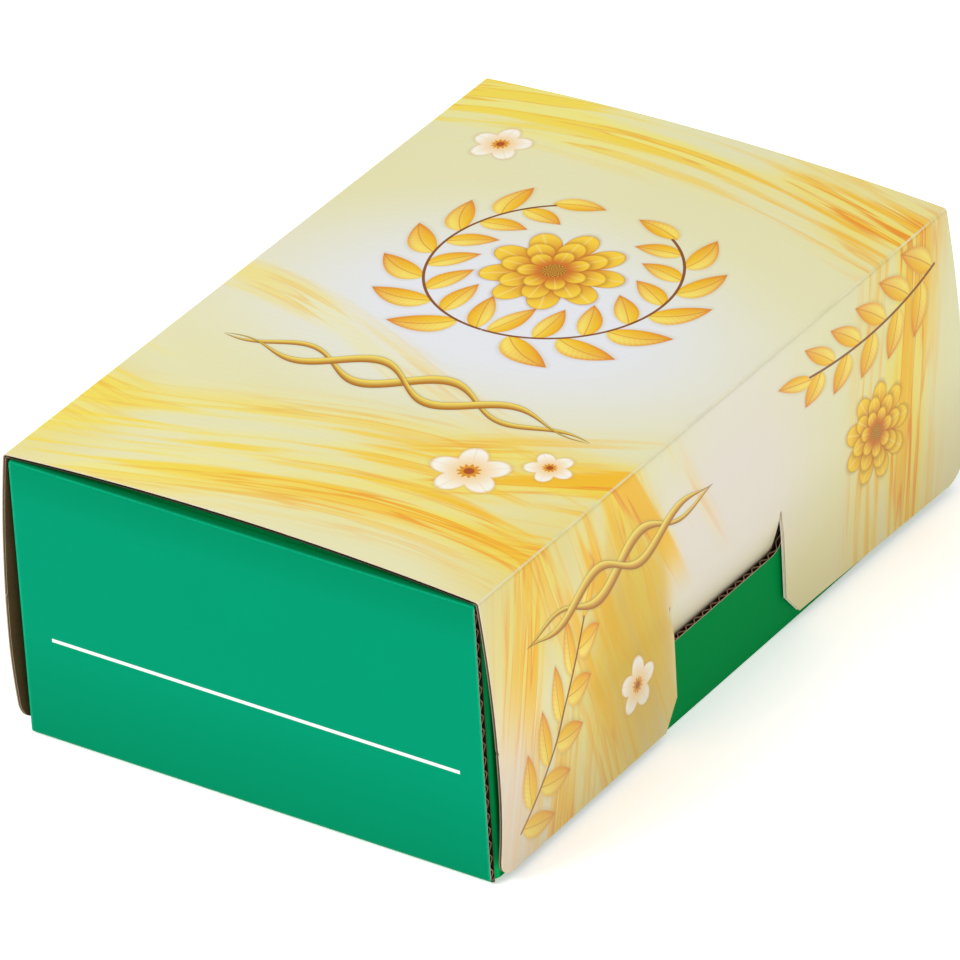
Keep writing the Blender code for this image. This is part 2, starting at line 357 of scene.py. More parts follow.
# %% Build the folding tree
SLOPE_STEP = 0.2 * MM


def folding_tree(finishes):
    """The tree that folds a flat sheet into the cover."""
    tree, geometry, sizes, leave = new_tree("fold_cover", FOLD_SIZES)
    place = add_node(tree, "GeometryNodeInputPosition").outputs[0]
    marked = stored(tree, geometry, "blank", place, "FLOAT_VECTOR")
    x, y, z = split(tree, place)
    side = x.math("SIGN")
    is_tab = abs(y).math("LESS_THAN", (TAB_HALF_WIDTH + WING_INNER_EDGE) / 2)
    fore, fore_z = folded_place(abs(x) + SLOPE_STEP, y, is_tab, sizes)
    aft, aft_z = folded_place(abs(x) - SLOPE_STEP, y, is_tab, sizes)
    run, fall = fore - aft, fore_z - aft_z
    length = (run * run + fall * fall).math("SQRT")
    outward = (fore + aft) * 0.5 - fall / length * z
    height = (fore_z + aft_z) * 0.5 + run / length * z
    moved = add_node(tree, "GeometryNodeSetPosition", {
        "Geometry": marked, "Position": joined(tree, outward * side, y, height)})
    finish_faces(tree, moved.outputs[0], finishes, leave)
    return tree


# %% [markdown]
# ## Colours
# Paper is never one flat colour. Each finish starts from an ink or a fibre colour, and a
# little noise at the scale of fibres, flutes or wear changes it. Colours are given as
# they look on a screen, and turned into the linear values that Blender mixes.

# %% Tools for materials
def ink(red, green, blue):
    """A colour given in screen values from 0 to 255."""
    linear = []
    for value in (red, green, blue):
        share = value / 255
        linear.append(share / 12.92 if share <= 0.04045 else ((share + 0.055) / 1.055) ** 2.4)
    return (*linear, 1.0)


def new_material(name, roughness, **shine):
    """A material, its shader and its node tree; the shine is the same all over."""
    made = bpy.data.materials.new(name)
    made.use_nodes = True
    shader = made.node_tree.nodes["Principled BSDF"]
    shader.inputs["Roughness"].default_value = roughness
    for label, value in shine.items():
        shader.inputs[label.replace("_", " ")].default_value = value
    return made, shader, made.node_tree


def paint(tree, shader, colour):
    """Gives the shader its colour."""
    tree.links.new(colour, shader.inputs["Base Color"])


def mixed(tree, share, under, over):
    """One colour laid over another by a share."""
    node = add_node(tree, "ShaderNodeMix", data_type="RGBA")
    feed(tree, node.inputs[0], share)
    feed(tree, node.inputs[6], under)
    feed(tree, node.inputs[7], over)
    return node.outputs[2]


def noise(tree, place, scale, detail=3.0, stretch=(1, 1, 1), shift=0.0):
    """Smooth noise from 0 to 1; stretch is how much finer it is along each axis."""
    scaled = vector_math(tree, "MULTIPLY", place, stretch)
    if shift:
        scaled = vector_math(tree, "ADD", scaled, (shift, shift * 0.7, shift * 0.3))
    node = add_node(tree, "ShaderNodeTexNoise", {"Vector": scaled, "Scale": scale, "Detail": detail})
    return Figure(tree, node.outputs[0])


def bumped(tree, shader, height, distance, strength=1.0):
    """Lets a height pattern catch the light."""
    node = add_node(tree, "ShaderNodeBump", {"Strength": strength, "Distance": distance, "Height": height})
    tree.links.new(node.outputs["Normal"], shader.inputs["Normal"])


def object_place(tree):
    """Place on the object, in metres."""
    return add_node(tree, "ShaderNodeTexCoord").outputs["Object"]


def blank_place(tree):
    """Place on the flat sheet, in metres."""
    return add_node(tree, "ShaderNodeAttribute", attribute_name="blank").outputs["Vector"]


def inset_share(tree):
    """How deep in the board a place on a flute lies: 0 at the cut, and 1 a little way in."""
    inset = add_node(tree, "ShaderNodeAttribute", attribute_name="inset").outputs["Fac"]
    return ramp(Figure(tree, inset), 0.05 * MM, 0.6 * MM)


# %% [markdown]
# ## Bare board
# Inside, and between its liners, the board is unbleached paper: brown, matt and full of
# fibres. The cut liner under the print is white paper with a fuzzy edge.

# %% Kraft, flute paper and cut white liner
def kraft_finish(name, base, dark, fibre=2600.0):
    """Unbleached paper, mottled by its fibres."""
    made, shader, tree = new_material(name, 0.85, Specular_IOR_Level=0.2)
    place = object_place(tree)
    fibres = noise(tree, place, fibre, 2, (1, 0.18, 1))
    cloud = noise(tree, place, 60, 3)
    tone = clamped(fibres * 0.8 + cloud * 0.6 - 0.2)
    paint(tree, shader, mixed(tree, tone, dark, base))
    bumped(tree, shader, fibres, 0.05 * MM, 0.4)
    return made


def flute_finish():
    """The wavy paper between the liners: fuzzy and light where it is cut, with painted shade further in."""
    made, shader, tree = new_material("flute_paper", 0.9, Specular_IOR_Level=0.1)
    fuzz = noise(tree, object_place(tree), 2200, 2)
    cut = mixed(tree, fuzz, ink(128, 90, 66), ink(204, 166, 134))
    # Painted shade: the flute paper turns dark brown further in from the cut.
    paint(tree, shader, mixed(tree, inset_share(tree), cut, ink(66, 42, 28)))
    bumped(tree, shader, fuzz, 0.05 * MM, 0.4)
    return made


def pinched_finish():
    """The cover's cut edge: pale at the slits, brown at the ends, with painted shade under the top and deep
    in the flutes.
    """
    made, shader, tree = new_material("pinched_edge", 0.85, Specular_IOR_Level=0.1)
    place = blank_place(tree)
    x, y, _ = split(tree, place)
    fibres = noise(tree, place, 1800, 2)
    colour = mixed(tree, fibres, ink(122, 104, 82), ink(166, 150, 126))
    # The slit edges are pale: partly crushed white liner, partly painted light.
    at_slit = fade(abs(y), WING_INNER_EDGE + 9 * MM, WING_INNER_EDGE + 14 * MM)
    at_slit = at_slit * ramp(abs(x), SIDE_GIRTH, SIDE_GIRTH + 9 * MM)
    colour = mixed(tree, at_slit, colour, ink(250, 242, 226))
    # Painted shade: the flutes darken further in from the cut.
    colour = mixed(tree, inset_share(tree) * (1 - at_slit), colour, ink(70, 54, 40))
    # Painted shade: the edge darkens where it lies under the top.
    shade_under_top = fade(abs(x), FLAT_HALF_WIDTH - 3 * MM, SIDE_GIRTH)
    paint(tree, shader, mixed(tree, shade_under_top, colour, ink(58, 56, 38)))
    return made


kraft_inside = kraft_finish("kraft_inside", ink(116, 92, 58), ink(78, 58, 34))
flute_paper = flute_finish()
# Painted shade: the grooves in the tray's raw edges are near-black kraft.
painted_shade_groove = kraft_finish("painted_shade_groove", ink(50, 38, 28), ink(26, 19, 14))
pinched_edge = pinched_finish()
cut_liner = kraft_finish("cut_liner", ink(232, 220, 200), ink(190, 164, 138), 1400.0)
cut_kraft = kraft_finish("cut_kraft", ink(128, 104, 80), ink(84, 64, 48))

# %% [markdown]
# ## The print
# The cover is printed in cream with a pale glow across the middle. Golden sweeps of
# brush-like streaks run over its creases at both ends. A wreath of golden leaves lies
# round a bloom on the top, over a twisted gold ribbon, and the panels carry sprays.
# All of it is drawn by formulas on the flat sheet. A sweep is the area round a curve,
# filled with noise stretched along the curve. A spray is one leaf, repeated along its
# stem: the distance along the stem is cut into equal cells, and each cell draws the leaf
# again on either side. A wreath is the same spray with its stem bent into a ring.


# %% Places along a stem
def turned(x, y, centre, degrees):
    """Coordinates from a centre, along and across a direction."""
    c, s = math.cos(math.radians(degrees)), math.sin(math.radians(degrees))
    x, y = x - centre[0], y - centre[1]
    return x * c + y * s, y * c - x * s


def along_bent_stem(x, y, centre, degrees, bend):
    """Distance along and across a stem that bends evenly."""
    along, across = turned(x, y, centre, degrees)
    return along, across - along * along * bend


def along_ring(x, y, centre, radius):
    """Distance along a ring from its near side, either way round, and out from it."""
    x, y = x - centre[0], y - centre[1]
    angle = x.math("ARCTAN2", y * -1)
    return abs(angle) * radius, (x * x + y * y).math("SQRT") - radius


def round_centre(x, y, centre, degrees):
    """Angle about a centre, and distance from it."""
    along, across = turned(x, y, centre, degrees)
    return across.math("ARCTAN2", along), (along * along + across * across).math("SQRT")


def edge_of(distance, soft):
    """1 where a distance is positive, with a soft edge."""
    return ramp(distance, -soft, soft)


def within(figure, low, high, soft):
    """1 between two values, with soft ends."""
    return ramp(figure, low - soft, low + soft) * fade(figure, high - soft, high + soft)


# %% Leaves, blossoms, ribbons and sweeps
LEAF_LEAN, LEAF_SWAY, LEAF_START = math.radians(56), 5.0, 0.13
LEAF_LIGHT, LEAF_GOLD, LEAF_DEEP = ink(255, 232, 110), ink(250, 200, 40), ink(232, 132, 40)
STEM_BROWN = ink(140, 84, 40)


def leaf_place(along, across, leaf, pitch):
    """Place along and across the nearest leaf, and where on the stem that leaf grows."""
    late = across.math("GREATER_THAN", 0.0) * (pitch * 0.5)
    shifted = along + late
    cell = (shifted / pitch).math("FLOOR") * pitch
    inside, reach = shifted - cell - pitch * LEAF_START, abs(across)
    leaf_x = inside * math.cos(LEAF_LEAN) + reach * math.sin(LEAF_LEAN)
    leaf_y = reach * math.cos(LEAF_LEAN) - inside * math.sin(LEAF_LEAN)
    return leaf_x, leaf_y + leaf_x * (leaf_x - leaf) * LEAF_SWAY, cell + pitch * LEAF_START - late


def leaf_depth(leaf_x, leaf_y, leaf):
    """How far inside a leaf's outline a place lies."""
    share = clamped(leaf_x / leaf)
    past = above(leaf_x * -1, 0) + above(leaf_x - leaf, 0)
    return (share**0.7) * (1 - share) * (leaf * 0.66) - abs(leaf_y) - past


def draw_leaves(tree, colour, along, across, length, leaf, pitch):
    """A stem with a leaf on either side in each cell along it, and one at its end."""
    swell = 1 - clamped(along / length) * 0.35
    leaf_x, leaf_y, root = leaf_place(along, across / swell, leaf, pitch)
    last_x, last_y = along - (length - leaf * 0.45), across + (along - length) * 0.12
    grown = within(root, 0.0, length - leaf * 0.55, 0.02 * pitch)
    depth = leaf_depth(leaf_x, leaf_y, leaf) - (1 - grown) * leaf
    last_depth = leaf_depth(last_x, last_y, leaf * 0.8)
    last = (last_depth - depth).math("GREATER_THAN", 0.0)
    leaf_x, leaf_y = leaf_x + (last_x - leaf_x) * last, leaf_y + (last_y - leaf_y) * last
    depth = above(depth, last_depth)
    share = clamped(leaf_x / leaf)
    colour = mixed(tree, ramp(depth, -2.4 * MM, 1.2 * MM) * 0.3, colour, ink(176, 150, 84))
    fill = mixed(tree, ramp(leaf_y, -leaf * 0.12, leaf * 0.12), LEAF_GOLD, LEAF_LIGHT)
    rim = fade(depth, 0.0, leaf * 0.09)
    ribs = ripple(leaf_x - abs(leaf_y) * 0.9, 2.3 * MM) * 0.05
    fill = mixed(tree, clamped(rim * 0.4 + share * 0.75 - 0.2 + ribs), fill, LEAF_DEEP)
    vein = fade(abs(leaf_y), 0.12 * MM, 0.4 * MM)
    fill = mixed(tree, vein * 0.55, fill, ink(205, 120, 30))
    colour = mixed(tree, edge_of(depth, 0.15 * MM), colour, fill)
    stem = fade(abs(across), 0.45 * MM, 0.75 * MM) * within(along, 0.0, length - leaf * 0.4, 0.5 * MM)
    return mixed(tree, stem, colour, STEM_BROWN)


def draw_blossom(tree, colour, x, y, centre, radius, degrees):
    """Five round petals about a golden middle, with a soft shadow."""
    angle, distance = round_centre(x, y, centre, degrees)
    petal = abs((angle * 2.5).math("COSINE")) * 0.40 + 0.60
    depth = petal * radius - distance
    colour = mixed(tree, ramp(depth, -2.2 * MM, 1 * MM) * 0.3, colour, ink(170, 146, 90))
    fill = mixed(tree, clamped(distance / (radius * 0.8)), ink(250, 196, 84), ink(255, 251, 236))
    crease = fade(abs((angle * 2.5).math("SINE")), 0.0, 0.10) * ramp(distance, radius * 0.2, radius * 0.6)
    rim = fade(depth, 0.1 * MM, radius * 0.09)
    fill = mixed(tree, clamped(rim * 0.5 + crease * 0.25), fill, ink(236, 172, 70))
    colour = mixed(tree, edge_of(depth, 0.15 * MM), colour, fill)
    dots = (angle * 11).math("COSINE") * radius * 0.05 + radius * 0.25
    stamens = edge_of(dots - distance, 0.12 * MM)
    colour = mixed(tree, stamens, colour, ink(228, 150, 30))
    return mixed(tree, edge_of(radius * 0.13 - distance, 0.12 * MM), colour, ink(176, 84, 26))


def draw_bloom(tree, colour, x, y, centre, radius, degrees):
    """Three rings of pointed golden petals, each over the one outside it."""
    angle, distance = round_centre(x, y, centre, degrees)
    for reach, petals, phase in ((1.0, 9, 0.0), (0.76, 8, 0.35), (0.5, 7, 0.9)):
        turn = angle * (petals / 2) + phase
        wave = abs(turn.math("COSINE"))
        outline = radius * reach
        depth = (wave**0.6 * 0.42 + 0.58) * outline - distance
        colour = mixed(tree, ramp(depth, -2.6 * MM, 1 * MM) * 0.42, colour, ink(150, 84, 24))
        outward = clamped(distance / outline)
        fill = mixed(tree, ramp(outward, 0.35, 0.95), ink(214, 118, 34), ink(255, 214, 62))
        ridge = fade(abs(turn.math("SINE")), 0.0, 0.16) * ramp(outward, 0.3, 0.7)
        fill = mixed(tree, ridge * 0.45, fill, ink(255, 240, 150))
        gap = fade(wave, 0.0, 0.4) * 0.55
        fill = mixed(tree, gap, fill, ink(206, 108, 28))
        rim = fade(depth, 0.1 * MM, 0.9 * MM)
        fill = mixed(tree, rim * 0.55, fill, ink(190, 106, 24))
        colour = mixed(tree, edge_of(depth, 0.15 * MM), colour, fill)
    heart = edge_of(radius * 0.17 - distance, 0.3 * MM)
    seeds = (angle * 16).math("SINE") * ripple(distance, 1.6 * MM) * 0.5 + 0.5
    return mixed(tree, heart, colour, mixed(tree, seeds, ink(120, 62, 20), ink(236, 170, 50)))


def draw_ribbon(tree, colour, x, y, centre, degrees, half_length, swing, turns):
    """Two gold strands that twist about each other and fade at both ends."""
    along, across = turned(x, y, centre, degrees)
    taper = 1 - clamped(abs(along) / half_length)**2
    for phase in (0.0, math.pi):
        angle = along * (math.pi * turns / half_length) + phase
        wave = angle.math("SINE") * swing * taper
        width = (angle.math("COSINE") * 1.1 + 2.6) * taper * MM
        depth = width - abs(across - wave)
        shadow = ramp(depth, -1.6 * MM, 0.6 * MM) * taper
        colour = mixed(tree, shadow * 0.3, colour, ink(150, 130, 90))
        shine = ramp(across - wave, width * -0.9, width * 0.9)
        fill = mixed(tree, shine, ink(184, 112, 22), ink(252, 226, 104))
        rim = fade(depth, 0.05 * MM, 0.45 * MM)
        fill = mixed(tree, rim * 0.75, fill, ink(120, 92, 34))
        colour = mixed(tree, edge_of(depth, 0.12 * MM) * taper.math("GREATER_THAN", 0.02), colour, fill)
    return colour


def draw_sweep(tree, colour, x, y, curve, half_width, strength, seed):
    """A flowing ribbon of brush-like streaks round a curve, which gives across from along."""
    offset = y - curve(x)
    body = fade(abs(offset) / half_width, 0.25, 1.0) * strength
    place = joined(tree, x * 7, offset * 130, 0.0)
    broad = noise(tree, place, 1.0, 3, (1, 0.35, 1), seed)
    fine = noise(tree, place, 1.0, 2, (1.3, 1.6, 1), seed + 5)
    warm = ramp(x, -70 * MM, 90 * MM)
    wash = ramp(broad, 0.36, 0.60) * body
    colour = mixed(tree, wash * 0.9, colour, mixed(tree, warm, ink(248, 238, 126), ink(248, 226, 82)))
    gold = ramp(fine * 0.5 + broad * 0.5, 0.48, 0.58) * body
    colour = mixed(tree, gold * 0.9, colour, mixed(tree, warm, ink(250, 222, 70), ink(250, 190, 34)))
    hairs = fade(abs(fine - 0.5), 0.004, 0.045) * ramp(broad, 0.46, 0.58) * body
    return mixed(tree, hairs * 0.85, colour, mixed(tree, warm, ink(244, 190, 60), ink(243, 140, 34)))


# %% Lay the print out on the flat sheet
CREAM, GLOW, PANEL_GLOW = ink(238, 234, 190), ink(236, 238, 242), ink(236, 227, 220)
CREASE_LINE_GIRTH = FLAT_HALF_WIDTH + CREASE_RADIUS * 0.7


def glow_round(x, y, centre, reach_x, reach_y):
    """A soft pale patch."""
    x, y = (x - centre[0]) / reach_x, (y - centre[1]) / reach_y
    return fade((x * x + y * y).math("SQRT"), 0.25, 1.0)


def crease_wear_and_highlight(tree, side):
    """How much the print is lightened along the creases: partly rubbed away, partly a painted highlight."""
    from_crease = abs(side - CREASE_LINE_GIRTH)
    patchiness = noise(tree, blank_place(tree), 160, 3, (1, 0.3, 1))
    return fade(from_crease, 0.1 * MM, 0.7 * MM) * (ramp(patchiness, 0.35, 0.6) * 0.6 + 0.15)


def print_with_painted_light(tree):
    """The print's colour at every place on the flat sheet, with painted shade low on the side panels and a
    painted highlight along the creases.
    """
    place = blank_place(tree)
    x, y, _ = split(tree, place)
    side = abs(x)
    drift = noise(tree, place, 7, 2)
    colour = mixed(tree, clamped(drift * 1.6 - 0.4), CREAM, ink(233, 228, 174))
    colour = mixed(tree, glow_round(x, y, (6 * MM, 8 * MM), 150 * MM, 96 * MM), colour, GLOW)
    colour = mixed(tree, glow_round(side, y, (158 * MM, 2 * MM), 70 * MM, 90 * MM) * 0.8, colour, PANEL_GLOW)
    near_margin = ramp(y, -112 * MM, -152 * MM) * ramp(side, 136 * MM, 190 * MM)
    colour = mixed(tree, near_margin, colour, PANEL_GLOW)
    near_wash = glow_round(side, y, (118 * MM, -128 * MM), 56 * MM, 62 * MM)
    colour = mixed(tree, near_wash * 0.6, colour, ink(236, 214, 112))
    golden = glow_round(side, y, (178 * MM, -66 * MM), 72 * MM, 46 * MM) * ramp(y, -34 * MM, -44 * MM)
    colour = mixed(tree, golden * 0.85, colour, ink(238, 190, 66))
    on_wing = ramp(side, 66 * MM, 122 * MM)
    over_crease = ramp(x, 14 * MM, 64 * MM) * fade(side, 140 * MM, 180 * MM)
    sweeps = (
        (lambda u: (u * 17 + 0.5).math("SINE") * 0.016 - 0.122, 0.052, 1 - near_margin * 0.85, 2.0),
        (lambda u: (u * 12 + 1.9).math("SINE") * 0.020 + 0.132, 0.040, 0.95, 11.0),
        (lambda u: (u * 15 + 3.4).math("SINE") * 0.030 - 0.040, 0.018, 0.45, 23.0),
        (lambda u: abs(u) * 0.30 - 0.128, 0.050, on_wing, 31.0),
        (lambda u: u * 0.55 - 0.118, 0.034, over_crease, 47.0),
    )
    for curve, half_width, strength, seed in sweeps:
        colour = draw_sweep(tree, colour, x, y, curve, half_width, strength, seed)
    colour = mixed(tree, golden * 0.5, colour, ink(208, 170, 24))
    along, across = along_ring(x, y, (4 * MM, 44 * MM), 50 * MM)
    colour = draw_leaves(tree, colour, along, across, 140 * MM, 27 * MM, 19 * MM)
    sprays = (((124 * MM, 150 * MM), -72, 96 * MM, -3.0), ((214 * MM, -150 * MM), 128, 92 * MM, 3.0))
    for centre, degrees, length, bend in sprays:
        along, across = along_bent_stem(side, y, centre, degrees, bend)
        colour = draw_leaves(tree, colour, along, across, length, 25 * MM, 17 * MM)
    colour = draw_ribbon(tree, colour, x, y, (0, -52 * MM), 0, 84 * MM, 9 * MM, 2.5)
    colour = draw_ribbon(tree, colour, side, y, (140 * MM, -72 * MM), 90, 66 * MM, 7 * MM, 2.0)
    blossoms = (
        (x, (56 * MM, -92 * MM), 16 * MM, 40), (x, (80 * MM, -74 * MM), 10 * MM, 65),
        (x, (-70 * MM, 118 * MM), 13 * MM, 25), (side, (196 * MM, -66 * MM), 12 * MM, 30),
    )
    for across_sheet, centre, radius, degrees in blossoms:
        colour = draw_blossom(tree, colour, across_sheet, y, centre, radius, degrees)
    blooms = ((x, (4 * MM, 44 * MM), 29 * MM, 12), (side, (176 * MM, 104 * MM), 21 * MM, 8))
    for across_sheet, centre, radius, degrees in blooms:
        colour = draw_bloom(tree, colour, across_sheet, y, centre, radius, degrees)
    # Painted shade: the side panels darken towards their lower edges.
    colour = mixed(tree, ramp(side, 160 * MM, 228 * MM) * 0.4, colour, ink(178, 152, 92))
    # The crease line is lightened by worn print and a painted highlight.
    return mixed(tree, crease_wear_and_highlight(tree, side), colour, ink(255, 247, 206))


# %% Coated print over fluted board
FINE_FLUTE_PITCH, BOLD_FLUTE_PITCH = 3.2 * MM, 6.2 * MM


def printed_finish():
    """Coated paper with the print, its painted shade and highlight, which lets the flutes below show faintly.
    """
    made, shader, tree = new_material(
        "coated_print", 0.36, Specular_IOR_Level=0.22, Coat_Weight=0.05, Coat_Roughness=0.3)
    paint(tree, shader, print_with_painted_light(tree))
    place = blank_place(tree)
    _, y, _ = split(tree, place)
    flutes = ripple(y, FINE_FLUTE_PITCH) * 0.012
    tooth = noise(tree, place, 900, 2) * 0.02
    soft = noise(tree, place, 26, 2) * 0.3
    bumped(tree, shader, flutes + tooth + soft, 1 * MM, 0.6)
    return made


coated_print = printed_finish()

# %% [markdown]
# ## Cutting the flat sheet
# The sheet is a grid of columns along Y and rows round the girth. Two slits beside each
# tab are gaps between columns that start at the slits' upper ends. Wherever the sheet
# ends, the rim is not a flat strip: it is the cut edge of two liners with a groove
# between them, which the fluted middle will fill.

# %% Outline of the flat sheet
NEAR_CLEARANCE, FAR_CLEARANCE, FAR_LIFT, PANEL_CORNER_RADIUS = 2.9 * MM, 3.1 * MM, 1.3 * MM, 9 * MM
TAB_LOWER_EDGE, TAB_CORNER_RADIUS = 22 * MM, 8 * MM
WING_CHAMFER_RUN, NEAR_CHAMFER_RISE, FAR_CHAMFER_RISE = 8.5 * MM, 11.5 * MM, 10.1 * MM
NICK_LEVEL, NICK_HALF_HEIGHT, NICK_DEPTH = 60 * MM, 0.9 * MM, 0.5 * MM
SLIT_GIRTH = SIDE_GIRTH + CREASE_LEVEL - SLIT_TOP


def evenly(start, end, step):
    """Places from start to end, at most a step apart."""
    count = max(1, math.ceil(abs(end - start) / step))
    return [start + (end - start) * k / count for k in range(count + 1)]


def corner_cuts(radius, steps=10):
    """Distances from a corner at which its round is divided."""
    return [radius * (1 - math.cos(math.pi / 2 * k / steps)) for k in range(steps + 1)]


def round_rise(inset, radius):
    """Rise of a round corner's edge, at a distance past the start of the round."""
    return radius - math.sqrt(max(radius**2 - inset**2, 0.0)) if inset > 0 else 0.0


def lower_edge(y, is_tab):
    """Height of the lower edge of a wing or a tab."""
    if is_tab:
        return TAB_LOWER_EDGE + round_rise(TAB_CORNER_RADIUS - (TAB_HALF_WIDTH - abs(y)), TAB_CORNER_RADIUS)
    from_end, from_slit = COVER_LENGTH / 2 - abs(y), abs(y) - WING_INNER_EDGE
    clearance, rise = NEAR_CLEARANCE, NEAR_CHAMFER_RISE
    if y > 0:
        clearance, rise = FAR_CLEARANCE + FAR_LIFT * from_end / (from_end + from_slit), FAR_CHAMFER_RISE
    if from_slit < WING_CHAMFER_RUN:
        return clearance + rise * (1 - from_slit / WING_CHAMFER_RUN)
    return clearance + round_rise(PANEL_CORNER_RADIUS - from_end, PANEL_CORNER_RADIUS)


def sheet_columns():
    """Columns along the cover, each as its place and whether it is in a tab."""
    half = COVER_LENGTH / 2
    inner, outer = WING_INNER_EDGE + WING_CHAMFER_RUN, half - PANEL_CORNER_RADIUS
    wing = [half - cut for cut in corner_cuts(PANEL_CORNER_RADIUS)]
    wing += evenly(outer, inner, 5 * MM)[1:] + evenly(inner, WING_INNER_EDGE, 3 * MM)[1:]
    tab = [TAB_HALF_WIDTH - cut for cut in corner_cuts(TAB_CORNER_RADIUS)]
    tab += evenly(tab[-1], 0.0, 4 * MM)[1:-1]
    columns = [(-y, False) for y in wing] + [(-y, True) for y in tab] + [(0.0, True)]
    return columns + [(y, True) for y in reversed(tab)] + [(y, False) for y in reversed(wing)]


def sheet_rows():
    """Rows of half the sheet, first by girth and then by share of the way to the lower edge."""
    nick = SIDE_GIRTH + CREASE_LEVEL - NICK_LEVEL
    fixed = evenly(0.0, FLAT_HALF_WIDTH, 4 * MM) + evenly(FLAT_HALF_WIDTH, SIDE_GIRTH, 0.4 * MM)[1:]
    fixed += evenly(SIDE_GIRTH, nick - NICK_HALF_HEIGHT, 3 * MM)[1:] + [nick]
    fixed += evenly(nick + NICK_HALF_HEIGHT, SLIT_GIRTH, 2 * MM)
    return [("girth", value) for value in fixed] + [("share", k / 20) for k in range(1, 21)]


def flat_place(side, row, column):
    """Place of a grid point on the flat sheet."""
    (kind, value), (y, is_tab) = row, column
    if kind == "share":
        lowest = SIDE_GIRTH + CREASE_LEVEL - lower_edge(y, is_tab)
        value = SLIT_GIRTH + (lowest - SLIT_GIRTH) * value
    height = CREASE_LEVEL - (value - SIDE_GIRTH)
    nick = max(0.0, 1 - abs(height - NICK_LEVEL) / NICK_HALF_HEIGHT) * NICK_DEPTH
    if value > SIDE_GIRTH and abs(y) > COVER_LENGTH / 2 - 1e-9:
        y -= math.copysign(nick, y)
    return Vector((side * value, y))


# %% Cells, rim and groove of the sheet
OUTER_LINER, INNER_LINER = 0.42 * MM, 0.25 * MM
GROOVE_DEPTH, SHALLOW_GROOVE = 2.2 * MM, 0.9 * MM
PRINTED, INSIDE, CUT, GROOVE, CUT_KRAFT = range(5)


def sheet_cells(rows, columns):
    """Grid cells that are board, leaving out the slits."""
    cells = []
    for i in range(len(rows) - 1):
        skirt = "share" in (rows[i][1][0], rows[i + 1][1][0])
        for j in range(len(columns) - 1):
            if not (skirt and columns[j][1] != columns[j + 1][1]):
                cells.append(((i, j), (i + 1, j), (i + 1, j + 1), (i, j + 1)))
    return cells


def outline_of(cells):
    """The keys of the grid points round the sheet, in order, with the board on the left."""
    edges = {(ring[k], ring[(k + 1) % 4]) for ring in cells for k in range(4)}
    onward = {start: end for start, end in edges if (end, start) not in edges}
    start = min(onward)
    loop, at = [start], onward[start]
    while at != start:
        loop.append(at)
        at = onward[at]
    assert len(loop) == len(onward), "the sheet's outline is one loop"
    return loop


def inward_steps(points):
    """For each point of a loop, the step into the groove of the board on its left.

    The groove is deep where the edge cuts across the flutes, and shallow along them.
    """
    steps = []
    for k, point in enumerate(points):
        arrive = (point - points[k - 1]).normalized()
        leave = (points[(k + 1) % len(points)] - point).normalized()
        normals = [Vector((-d.y, d.x)) for d in (arrive, leave)]
        middle = (normals[0] + normals[1]).normalized()
        depth = SHALLOW_GROOVE + (GROOVE_DEPTH - SHALLOW_GROOVE) * min(abs(arrive.y), abs(leave.y)) ** 2
        steps.append(middle * (depth / max(middle.dot(normals[0]), 0.6)))
    return steps


def cut_sheet():
    """The flat sheet as a closed mesh, and the loop of places round it."""
    half_rows = sheet_rows()
    rows = [(-1, row) for row in reversed(half_rows[1:])] + [(1, row) for row in half_rows]
    columns = sheet_columns()
    cells = sheet_cells(rows, columns)
    used = sorted({key for ring in cells for key in ring})
    flat = {key: flat_place(*rows[key[0]], columns[key[1]]) for key in used}
    form = bmesh.new()
    finish = form.faces.layers.int.new("finish")
    printed = {key: form.verts.new((*flat[key], 0)) for key in used}
    inside = {key: form.verts.new((*flat[key], -COVER_BOARD)) for key in used}
    for ring in cells:
        form.faces.new([printed[key] for key in ring])[finish] = PRINTED
        form.faces.new([inside[key] for key in reversed(ring)])[finish] = INSIDE
    loop = outline_of(cells)
    places = [flat[key] for key in loop]
    deep = [place + step for place, step in zip(places, inward_steps(places))]
    ladders = [
        [printed[key], form.verts.new((*at, -OUTER_LINER)), form.verts.new((*into, -OUTER_LINER)),
         form.verts.new((*into, INNER_LINER - COVER_BOARD)), form.verts.new((*at, INNER_LINER - COVER_BOARD)),
         inside[key]]
        for key, at, into in zip(loop, places, deep)
    ]
    kinds = (CUT, GROOVE, GROOVE, GROOVE, CUT_KRAFT)
    for k, here in enumerate(ladders):
        there = ladders[(k + 1) % len(ladders)]
        for rung, kind in enumerate(kinds):
            form.faces.new((here[rung], here[rung + 1], there[rung + 1], there[rung]))[finish] = kind
    return form, places


# %% Put a mesh in the scene
def add_object(name, form):
    """Puts a bmesh in the scene as an object."""
    mesh = bpy.data.meshes.new(name)
    form.to_mesh(mesh)
    form.free()
    obj = bpy.data.objects.new(name, mesh)
    bpy.context.scene.collection.objects.link(obj)
    return obj


def soften(obj, degrees=35):
    """Shades a piece smooth, but keeps its cut edges crisp."""
    obj.data.shade_smooth()
    obj.data.set_sharp_from_angle(angle=math.radians(degrees))


def report(obj):
    """Prints a piece's size and faces."""
    corners = [Vector(c) for c in obj.bound_box]
    size = [round((max(c[k] for c in corners) - min(c[k] for c in corners)) / MM, 1) for k in range(3)]
    triangles = sum(len(face.vertices) - 2 for face in obj.data.polygons)
    print(obj.name, "mm:", size, "triangles:", triangles)


# %% Fold the cover
sheet_form, sheet_outline = cut_sheet()
cover = add_object("printed_cover", sheet_form)
fold = folding_tree([coated_print, kraft_inside, cut_liner, pinched_edge, pinched_edge])
grow(cover, (fold, FOLD_SIZES))
soften(cover)
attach(cover, "root")
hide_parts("cover")
report(cover)

